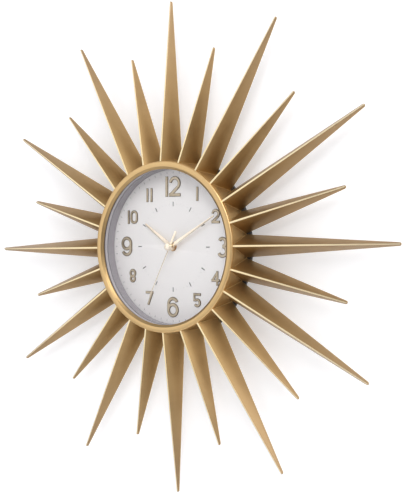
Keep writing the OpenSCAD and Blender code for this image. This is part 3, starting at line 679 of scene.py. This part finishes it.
def rootSeam(side):
    # a thin bead down one side of the root, from the ridge to the back corner, on the drum's wall; its paler
    # gold is a painted highlight where the bead catches the light
    frontY = drumLow.y + ray["seamInset"]
    frontR = bezelR + ray["seamInset"]
    backX = ray["rootHalf"] * side
    drawnIn = (-frontY - burstDepth) / ray["rootHeight"]
    frontX = backX + (ray["rootLand"] / 2 * side - backX) * drawnIn
    top = Vector((frontX, frontY, axis.z + frontR + ray["seamProud"]))
    backR = math.sqrt(drumBackR ** 2 - backX ** 2)
    foot = Vector((backX, -burstDepth, axis.z + backR + ray["seamProud"]))
    run = foot - top
    facing = run.to_track_quat("Z", "Y").to_euler()
    bpy.ops.mesh.primitive_cylinder_add(vertices=8, radius=ray["seam"], depth=run.length,
                                        location=(top + foot) / 2, rotation=facing)
    piece = bpy.context.object
    settle(piece)
    soften(piece, ray["seam"] * 0.4, 1, 60)
    piece.data.materials.append(finishes["raySeam"])
    return piece


def rayBody(back, start, end):
    # a plane stood across the root is drawn out to the nose and left in edit mode
    middle = back - ray["rootHeight"] / 2
    bpy.ops.mesh.primitive_plane_add(size=1, location=(0, middle, start))
    piece = bpy.context.object
    piece.scale = (2 * ray["rootHalf"], ray["rootHeight"], 1)
    settle(piece)
    inEdit(piece)
    # the root's front edge is drawn in to the ridge
    pick(piece, "verts", lambda v: v.co.y < middle)
    ridgeShare = ray["rootLand"] / 2 / ray["rootHalf"]
    bpy.ops.transform.resize(value=(ridgeShare, 1, 1), center_override=(0, back, start))
    # the far end is made small
    bpy.ops.mesh.select_all(action="SELECT")
    bpy.ops.mesh.extrude_region_move(TRANSFORM_OT_translate={"value": (0, 0, end - start)})
    flat = ray["tipHeight"] / ray["rootHeight"]
    narrow = ray["tipHalf"] / ray["rootHalf"]
    bpy.ops.transform.resize(value=(narrow, flat, 1), center_override=(0, back, end))
    pick(piece, "verts", lambda v: v.co.z > end - mm and v.co.y < back - ray["tipHeight"] / 2)
    bpy.ops.transform.resize(value=(ray["tipLand"] / ray["rootLand"] / narrow, 1, 1),
                             center_override=(0, back, end))
    # the root leans into the drum's taper
    pick(piece, "verts", lambda v: v.co.z < start + mm and v.co.y < middle)
    bpy.ops.transform.translate(value=(0, 0, -ray["rootLean"]))
    return piece


def onBack(vertex, back):
    # whether a vertex lies in the plane of the rays' backs
    return vertex.co.y > back - touch


def rollBackEdges(piece, back, span):
    # rounds the two long edges that lie nearest the wall
    outermost = ray["tipHalf"] - 0.1 * mm
    pick(piece, "edges", lambda e: e.calc_length() > span / 2 and all(
        onBack(v, back) and abs(v.co.x) > outermost for v in e.verts))
    bpy.ops.mesh.bevel(offset=ray["backEdge"], segments=2, affect="EDGES")


def hollowBack(piece, back, start, end):
    # a groove up the back, with a wall all round it, that ends short of the root and the nose
    span = end - start
    wall = ray["wall"]
    inner = ray["solidRoot"] + start + ray["rootSink"]
    outer = end - ray["solidTip"]
    pick(piece, "faces", lambda f: f.normal.y > 0.99)
    bpy.ops.mesh.inset(thickness=wall, depth=0)
    ends = (
        (inner, lambda v: onBack(v, back) and start + mm < v.co.z < start + 0.1 * span),
        (outer, lambda v: onBack(v, back) and end - 0.1 * span < v.co.z < end - 0.2 * mm),
    )
    # the hollow's two ends are moved to where it stops
    for goal, test in ends:
        pick(piece, "verts", test)
        found = picked(piece)[0]
        share = (goal - start) / span
        half = ray["rootHalf"] + (ray["tipHalf"] - ray["rootHalf"]) * share - wall
        bpy.ops.transform.translate(value=(0, 0, goal - found.z))
        bpy.ops.transform.resize(value=(half / abs(found.x), 1, 1), center_override=(0, back, goal))
    pick(piece, "faces", lambda f: f.normal.y > 0.99 and all(
        inner - mm < v.co.z < outer + mm for v in f.verts))
    bpy.ops.mesh.extrude_region_move(TRANSFORM_OT_translate={"value": (0, -ray["grooveStart"], 0)})
    # the hollow's bottom follows the ridge from inside
    for goal in (inner, outer):
        height = ray["rootHeight"] + (ray["tipHeight"] - ray["rootHeight"]) * (goal - start) / span
        bottom = back - 0.8 * ray["grooveStart"]
        pick(piece, "verts", lambda v: abs(v.co.z - goal) < 0.1 * mm and v.co.y < bottom)
        narrow = ray["grooveHalf"] / abs(picked(piece)[0].x)
        bpy.ops.transform.translate(value=(0, ray["grooveStart"] - (height - 2 * wall), 0))
        bpy.ops.transform.resize(value=(narrow, 1, 1), center_override=(0, back, goal))


def roundNose(piece, back, end):
    # short lengths that follow a round end
    pick(piece, "faces", lambda f: f.normal.z > 0.9 and all(v.co.z > end - mm for v in f.verts))
    quarter = math.pi / 2
    reach = math.sin(quarter * ray["noseTurn"])
    before = 1.0
    reached = 0.0
    for i in range(1, ray["noseSteps"] + 1):
        turn = quarter * i / ray["noseSteps"] * ray["noseTurn"]
        step = ray["tipHalf"] * math.sin(turn) / reach - reached
        reached += step
        bpy.ops.mesh.extrude_region_move(TRANSFORM_OT_translate={"value": (0, 0, step)})
        shrink = math.cos(turn) / before
        before = math.cos(turn)
        lower = 1 - ray["noseDroop"] * i / ray["noseSteps"]
        bpy.ops.transform.resize(value=(shrink, lower, 1), center_override=(0, back, end + reached))


def makeRay(tip):
    # one ray at twelve o'clock
    back = -burstDepth
    start = axis.z + (drumBackR - ray["rootSink"])
    end = axis.z + tip - ray["tipHalf"]
    piece = rayBody(back, start, end)
    rollBackEdges(piece, back, end - start)
    hollowBack(piece, back, start, end)
    roundNose(piece, back, end)
    bpy.ops.mesh.select_all(action="SELECT")
    bpy.ops.mesh.normals_make_consistent(inside=False)
    outOfEdit()
    soften(piece, ray["edge"], 2, 30)
    piece.data.materials.append(finishes["ray_gold"])
    piece.data.materials.append(finishes["rayRidge"])
    piece = joined([piece, rootSeam(1), rootSeam(-1)])
    smooth(piece, 30)
    # the ridge and the rolled back edges take the bright finish, a painted highlight where they catch the
    # light
    for face in piece.data.polygons:
        rolled = face.center.y > back - ray["backEdge"] and abs(face.normal.y) < 0.9
        if face.normal.y < -0.93 or rolled:
            face.material_index = 1
    return piece


def rayTip(node, turn):
    # distance from the dial axis to the tip of a ray that stands a little off twelve o'clock
    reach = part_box(node)[1].z - axis.z - ray["tipHalf"]
    return reach / math.cos(math.radians(turn)) + ray["tipHalf"] - ray["tipEase"]


def makeRays():
    tips = [rayTip("ray_01", ray["turn"]), rayTip("ray_02", rayStep + ray["turn"])]  # long and short
    patterns = [makeRay(tip) for tip in tips]
    for i in range(ray["count"]):
        name = f"ray{i + 1:02d}"
        node = f"ray_{i + 1:02d}"
        standFor(turned(patterns[i % 2], ray["turn"] + i * rayStep), name, node)
    for pattern in patterns:
        bpy.data.objects.remove(pattern)
    print("rays made, tips at", [round(tip / mm, 1) for tip in tips])


makeRays()


crown = -bezelLow.y
dialFace = -dialLow.y
lensLow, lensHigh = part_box("lens")
lensR = (lensHigh.x - lensLow.x) / 2
skirtBack = -bezelHigh.y

bezel = {
    "face": 11 * mm, "edge": 1.7 * mm, "bevelWidth": 3.4 * mm, "bevelDrop": 2.0 * mm, "dome": 0.35 * mm,
    "slopeSteps": 3, "stepWide": 0.25 * mm, "stepDeep": 0.3 * mm,  # fine steps down the inner slope
    "corner": 0.3 * mm, "rimEase": 0.05 * mm, "skirt": 1.45 * mm, "skirtWall": 2 * mm,
}


def makeBezel():
    lip = bezelR - bezel["face"]
    rim = lip + bezel["bevelWidth"]
    high = crown - bezel["dome"]
    shoulder = bezelR - bezel["edge"]
    foot = high - bezel["bevelDrop"]
    corner = bezel["corner"]
    outline = [(bezelR, bezelBack), *arc((shoulder, high - bezel["edge"]), bezel["edge"], 0, 90)]
    outline += [((shoulder + rim) / 2, crown), (rim + corner, high + bezel["rimEase"])]
    for i in range(bezel["slopeSteps"]):
        share = i / bezel["slopeSteps"]
        across = rim - bezel["bevelWidth"] * share
        drop = high - bezel["bevelDrop"] * share
        outline += [(across, drop), (across - bezel["stepWide"], drop - bezel["stepDeep"])]
    outline += [(lip + corner, foot), (lip, foot - corner), (lip, bezelBack)]
    skirtOut = bezelR - bezel["skirt"]
    skirtIn = skirtOut - bezel["skirtWall"]
    outline += [(skirtIn, bezelBack), (skirtIn, skirtBack), (skirtOut, skirtBack), (skirtOut, bezelBack)]
    piece = lathe(outline, 256)
    smooth(piece, 28)
    standFor(piece, "bezelRing", "bezel")
    # the inner slope takes a darker copy of the bezel's gold: painted shade
    piece.data.materials.append(finishes["bezelSlope"])
    for face in piece.data.polygons:
        if (face.center - axis).xz.length < rim - 0.1 * mm:
            face.material_index = 1


# shade is how far back from the lens the painted shadow band under the lip runs
reveal = {
    "wall": 1.8 * mm, "recess": 0.6 * mm, "flange": 1.4 * mm, "lipOver": 0.4 * mm, "stepDrop": 14 * mm,
    "stepFall": 0.1 * mm, "corner": 0.25 * mm, "groove": 1.3 * mm, "foot": 1.0 * mm, "shade": 1.4 * mm,
}


def makeReveal():
    inner = bezelR - bezel["face"] + reveal["lipOver"]
    wide = inner + reveal["recess"]
    top = -lensHigh.y
    step = crown - reveal["stepDrop"]
    groove = reveal["groove"]
    corner = reveal["corner"]
    foot = dialFace + reveal["foot"]
    shade = top - reveal["shade"]
    ledge = step - reveal["stepFall"]
    flange = top - reveal["flange"]
    wall = inner + reveal["wall"]
    outline = [
        (inner + reveal["foot"], dialFace), (wall, dialFace), (wall, flange), (lensR, flange), (lensR, top),
        (wide + corner, top), (wide, top - corner), (wide, shade), (wide, step + groove),
        (wide + groove, step + groove), (wide + groove, step), (inner + corner, ledge),
        (inner, ledge - corner), (inner, foot),
    ]
    piece = lathe(outline, 256)
    smooth(piece, 30)
    standFor(piece, "revealRing", "reveal_ring")
    # the front band takes a paler grey, partly painted light where it catches more of the lamps; the groove,
    # the band under the lens and the foot at the dial take a near-black grey, a painted shadow of the lip,
    # the step and the dial's edge
    piece.data.materials.append(finishes["revealPale"])
    piece.data.materials.append(finishes["revealShade"])
    for face in piece.data.polygons:
        depth = -face.center.y
        if step + groove < depth < shade:
            face.material_index = 1
        elif depth > step + touch or depth < foot:
            face.material_index = 2


def makeLens():
    edge = 0.3 * mm
    back, front = -lensHigh.y, -lensLow.y
    outline = [(0, back), (lensR - edge, back), (lensR, back + edge), (lensR, front - edge),
               (lensR - edge, front), (0, front)]
    piece = lathe(outline, 192)
    smooth(piece, 30)
    standFor(piece, "lensGlass", "lens")


makeBezel()
makeReveal()
makeLens()
drum = {"drum": {"name": "drumShell", "edge": 0.3 * mm}}
carryOver(drum)
print("case made")


marks = {
    "lift": 0.06 * mm,
    "hourAt": 61 * mm, "hourLong": 6.4 * mm, "hourWide": 1.25 * mm,
    "dotAt": 61 * mm, "dotSize": 0.7 * mm,
    "edgeAt": 106 * mm, "edgeLong": 3.0 * mm, "edgeWide": 0.55 * mm,
    "corner": 0.25,  # share of the width
}


def printedMark(at, long, wide):
    # a low printed block at twelve o'clock, with its corners taken off
    piece = block(axis + Vector((0, -dialFace, at)), (wide, 2 * marks["lift"], long))
    inEdit(piece)
    pick(piece, "edges", lambda e: abs(e.verts[0].co.y - e.verts[1].co.y) > marks["lift"])
    bpy.ops.mesh.bevel(offset=wide * marks["corner"], segments=2, affect="EDGES")
    outOfEdit()
    return piece


def ringOfMarks(name, at, long, wide, angles, finishName):
    first = printedMark(at, long, wide)
    made = [turned(first, angle) for angle in angles]
    bpy.data.objects.remove(first)
    detail(joined(made), name, "dial", finishName)


def makeMarks():
    hours = range(0, 360, 30)
    minutes = range(0, 360, 6)
    dots = [angle for angle in minutes if angle not in hours]
    dot = marks["dotSize"]
    ringOfMarks("hourMarks", marks["hourAt"], marks["hourLong"], marks["hourWide"], hours, "hourPrint")
    ringOfMarks("minuteDots", marks["dotAt"], dot, dot, dots, "minutePrint")
    ringOfMarks("minuteMarks", marks["edgeAt"], marks["edgeLong"], marks["edgeWide"], minutes, "minutePrint")


numeral = {
    "swell": 0.32 * mm, "slope": 0.8 * mm, "fall": 0.5 * mm,
    "flat": 0.97, "frontDepth": 0.25 * mm,  # what counts as the front: how square it faces, and how far back
}


def makeNumerals():
    # each stroke's front is drawn in, which leaves a sloped edge all round it; the slopes take a near-black
    # gold, painted shade
    piece = carried("numerals")
    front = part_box("numerals")[0].y
    inEdit(piece)
    bpy.ops.mesh.select_all(action="SELECT")
    bpy.ops.transform.shrink_fatten(value=numeral["swell"], use_even_offset=False)
    pick(piece, "faces", lambda f: f.normal.y < -numeral["flat"])
    bpy.ops.transform.translate(value=(0, numeral["fall"] + numeral["swell"] / 2, 0))
    bpy.ops.mesh.inset(thickness=numeral["slope"], depth=numeral["fall"], use_even_offset=False)
    outOfEdit()
    piece.data.materials.append(finishes["numeral_gold"])
    piece.data.materials.append(finishes["numeralEdge"])
    for face in piece.data.polygons:
        isFront = face.normal.y < -numeral["flat"] and face.center.y < front + numeral["frontDepth"]
        face.material_index = 0 if isFront else 1
    smooth(piece, 25)
    standFor(piece, "dialNumerals", "numerals")


dial = {"dial": {"name": "dialCard", "edge": 0.2 * mm}}
carryOver(dial)
makeMarks()
makeNumerals()
print("dial made")


hands = {
    "hour_hand": {"name": "hourHand", "edge": 0.22 * mm},
    "minute_hand": {"name": "minuteHand", "edge": 0.22 * mm},
    "second_hand": {"name": "secondHand", "edge": 0.16 * mm},
    "hex_nut": {"name": "shaftNut", "edge": 0.25 * mm},
    "brass_washer": {"name": "shaftWasher", "edge": 0.12 * mm},
    "rubber_washer": {"name": "rubberWasher", "edge": 0.15 * mm},
    "threaded_bushing": {"name": "shaftBushing", "edge": 0.12 * mm},
}
carryOver(hands)
print("hands made")


backs = {
    "back_plate": {"name": "backPlate", "edge": 0.6 * mm},
    "rear_cover": {"name": "rearCover", "edge": 0.8 * mm},
    "wall_pads": {"name": "wallPads", "edge": 0.5 * mm},
    "movement_back_case": {"name": "movementBack", "edge": 0.3 * mm},
    "movement_front_case": {"name": "movementFront", "edge": 0.3 * mm},
    "contact_positive": {"name": "contactPositive", "edge": 0.08 * mm},
    "contact_negative": {"name": "contactNegative", "edge": 0.08 * mm},
}
carryOver(backs)


knob = {
    "edge": 0.15 * mm, "barLong": 7.5 * mm, "barWide": 1.4 * mm, "barLift": 0.5 * mm,
    "barTop": (0.9, 1, 0.6),  # what the bar's outer face keeps of its length and width
    "collarGap": 1.2 * mm, "collar": 0.8 * mm, "collarLift": 0.5 * mm, "collarCorner": 0.2 * mm,
}


def makeKnob():
    # fluted knob with a finger bar across it, and a low collar round it on the case
    carryOver({"setting_knob": {"name": "settingKnob", "edge": knob["edge"]}})
    low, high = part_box("setting_knob")
    middle = Vector(((low.x + high.x) / 2, 0, (low.z + high.z) / 2))
    top = middle + Vector((0, high.y, 0))
    bar = block(top, (knob["barLong"], 2 * knob["barLift"], knob["barWide"]))
    inEdit(bar)
    pick(bar, "faces", lambda f: f.normal.y > 0.99)
    bpy.ops.transform.resize(value=knob["barTop"], center_override=top)
    outOfEdit()
    soften(bar, knob["edge"])
    smooth(bar)
    detail(bar, "knobBar", "setting_knob", "knob_white")
    caseBack = -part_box("movement_back_case")[1].y
    inner = (high.x - low.x) / 2 + knob["collarGap"]
    outer = inner + knob["collar"]
    corner = knob["collarCorner"]
    rim = caseBack - knob["collarLift"]
    outline = [(inner, caseBack + corner), (inner, rim + corner), (inner + corner, rim),
               (outer - corner, rim), (outer, rim + corner), (outer, caseBack + corner)]
    ring = lathe(outline, 64, middle)
    smooth(ring, 30)
    detail(ring, "knobCollar", "movement_back_case", "black_plastic")


cell = {
    "nubR": 2.75 * mm, "nub": 1.0 * mm, "crimp": 0.4 * mm, "round": 0.8 * mm,
    "dish": 0.25 * mm, "step": 0.2 * mm,  # hollow in the base, and rise of the top inside the crimp
}


def makeBattery():
    # drawn can with a crimped end, a raised nub and a flat base, turned about its own length
    low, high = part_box("battery")
    radius = (high.z - low.z) / 2
    length = high.x - low.x - cell["nub"]
    soft = cell["round"]
    neck = radius - cell["crimp"]
    nubR = cell["nubR"]
    nubTop = length + cell["nub"]
    dish = cell["dish"]
    rimTop = length - cell["step"]
    outline = [
        # base
        (0, dish), (0.55 * radius, dish), (0.6 * radius, 0), (radius - soft, 0),
        (radius - 0.3 * soft, 0.3 * soft), (radius, soft),
        # crimped end
        (radius, length - 3.2 * soft), (neck, length - 2.6 * soft), (neck, length - 2.2 * soft),
        (radius, length - 1.6 * soft), (radius, length - soft), (radius - 0.4 * soft, length - 0.3 * soft),
        (radius - soft, rimTop), (0.62 * radius, rimTop), (0.5 * radius, length),
        # nub
        (nubR, length), (nubR, nubTop - dish), (nubR - dish, nubTop), (0, nubTop),
    ]
    piece = lathe(outline, 64, Vector((0, 0, 0)))
    middle = Vector((low.x, (low.y + high.y) / 2, (low.z + high.z) / 2))
    piece.data.transform(Matrix.Translation(middle) @ Matrix.Rotation(math.pi / 2, 4, "Z"))
    smooth(piece, 35)
    standFor(piece, "batteryCell", "battery")
    piece.data.materials.append(finishes["batteryMetal"])
    for face in piece.data.polygons:
        if (face.center - middle).yz.length < radius - soft:
            face.material_index = 1


screws = {
    "coverScrews": {"node": "cover_screws", "count": 6, "first": 30, "head": 2.9 * mm, "height": 1.9 * mm,
                    "shank": 1.4 * mm, "pitch": 1.0 * mm, "recess": 0.9 * mm},
    "rayScrews": {"node": "ray_screws", "count": 24, "first": ray["turn"], "head": 2.6 * mm,
                  "height": 1.7 * mm, "shank": 1.0 * mm, "pitch": 1.2 * mm, "recess": 0.8 * mm},
}


def makeScrew(screw, ring):
    # pan head with a crossed recess, and a threaded shank
    low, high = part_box(screw["node"])
    back, end = -high.y, -low.y
    head, height, shank = screw["head"], screw["height"], screw["shank"]
    outline = [(0, back), (0.5 * head, back + 0.05 * height), (0.82 * head, back + 0.25 * height),
               (head, back + 0.6 * height), (head, back + height), (shank, back + height)]
    turns = int((end - back - height) / screw["pitch"]) - 1
    for i in range(turns):
        at = back + height + (i + 1) * screw["pitch"]
        outline += [(0.8 * shank, at - 0.35 * screw["pitch"]), (shank, at)]
    outline += [(0.2 * shank, end), (0, end)]
    centre = axis + Vector((0, 0, ring))
    piece = lathe(outline, 24, centre)
    long, narrow, deep = 1.15 * head, 0.28 * head, 2 * screw["recess"]
    for size in ((long, deep, narrow), (narrow, deep, long)):
        cut(piece, block(centre + Vector((0, -back, 0)), size))
    smooth(piece, 30)
    return piece


def makeScrews():
    for name, screw in screws.items():
        node = screw["node"]
        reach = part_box(node)[1].z - axis.z
        ring = (reach - screw["head"]) / math.cos(math.radians(screw["first"]))
        first = makeScrew(screw, ring)
        step = 360 / screw["count"]
        made = [turned(first, screw["first"] + i * step) for i in range(screw["count"])]
        bpy.data.objects.remove(first)
        standFor(joined(made), name, node)


cover = {
    "ribLift": 0.9 * mm, "ribWide": 2.2 * mm, "ribFrom": 49 * mm, "ribTo": 94 * mm, "ribCount": 8,
    "ribTop": (0.7, 1, 0.98), "ribEdge": 0.25 * mm,
    "frameLift": 0.8 * mm, "frameWide": 2.0 * mm, "window": 62 * mm,  # the window is square
    "keyWide": 15 * mm, "keyHigh": 21 * mm, "keyAt": 72.6 * mm,  # the keyhole's middle is above the axis
}


def raisedFrame(face, wide, high, at, rim, lift):
    # a rectangular lip standing off a flat face, open in the middle
    middle = axis + Vector((0, face, at))
    piece = block(middle, (wide + 2 * rim, 2 * lift, high + 2 * rim))
    cut(piece, block(middle, (wide, 6 * lift, high)))
    soften(piece, 0.3 * lift)
    smooth(piece)
    return piece


def makeCoverDetails():
    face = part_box("rear_cover")[1].y
    middle = axis + Vector((0, face, (cover["ribFrom"] + cover["ribTo"]) / 2))
    rib = block(middle, (cover["ribWide"], 2 * cover["ribLift"], cover["ribTo"] - cover["ribFrom"]))
    inEdit(rib)
    pick(rib, "faces", lambda f: f.normal.y > 0.99)
    bpy.ops.transform.resize(value=cover["ribTop"], center_override=middle)
    outOfEdit()
    soften(rib, cover["ribEdge"])
    smooth(rib)
    step = 360 / cover["ribCount"]
    ribs = [turned(rib, (i + 0.5) * step) for i in range(cover["ribCount"])]
    bpy.data.objects.remove(rib)
    detail(joined(ribs), "coverRibs", "rear_cover", "black_plastic")
    lip, lift = cover["frameWide"], cover["frameLift"]
    windowLip = raisedFrame(face, cover["window"], cover["window"], 0, lip, lift)
    detail(windowLip, "coverWindowLip", "rear_cover", "black_plastic")
    keyLip = raisedFrame(face, cover["keyWide"], cover["keyHigh"], cover["keyAt"], lip, lift)
    detail(keyLip, "coverKeyholeLip", "rear_cover", "black_plastic")


caseMarks = {
    "lift": 0.3 * mm, "edge": 0.12 * mm, "wide": 0.9 * mm, "long": 3.4 * mm,
    "side": 19 * mm, "above": 3.2 * mm,  # the plus and the minus, off the axis and above the battery
    "lineCount": 5, "lineGap": 2.4 * mm, "lineLong": 20 * mm, "lineX": -14 * mm, "lineTop": 20 * mm,
}


def makeCaseMarks():
    # moulded plus and minus above the battery, and a group of fine lines
    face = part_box("movement_back_case")[1].y
    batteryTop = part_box("battery")[1].z
    wide, long, side = caseMarks["wide"], caseMarks["long"], caseMarks["side"]
    across = batteryTop + caseMarks["above"]
    bars = [(side, across, long, wide), (side, across, wide, long), (-side, across, long, wide)]
    for i in range(caseMarks["lineCount"]):
        down = axis.z + caseMarks["lineTop"] - i * caseMarks["lineGap"]
        bars.append((caseMarks["lineX"], down, caseMarks["lineLong"], wide))
    made = [block((x, face, z), (wideX, 2 * caseMarks["lift"], highZ)) for x, z, wideX, highZ in bars]
    for bar in made:
        soften(bar, caseMarks["edge"])
    detail(joined(made), "caseMarks", "movement_back_case", "black_plastic")


makeKnob()
makeBattery()
makeScrews()
makeCoverDetails()
makeCaseMarks()
print("back made")


def dressRest():
    # finishes for the pieces that stay as the CAD has them
    for node, shown in frame["nodes"].items():
        if not shown.hide_render:
            shown.data.materials.clear()
            shown.data.materials.append(finishes[slotOf[node]])


dressRest()
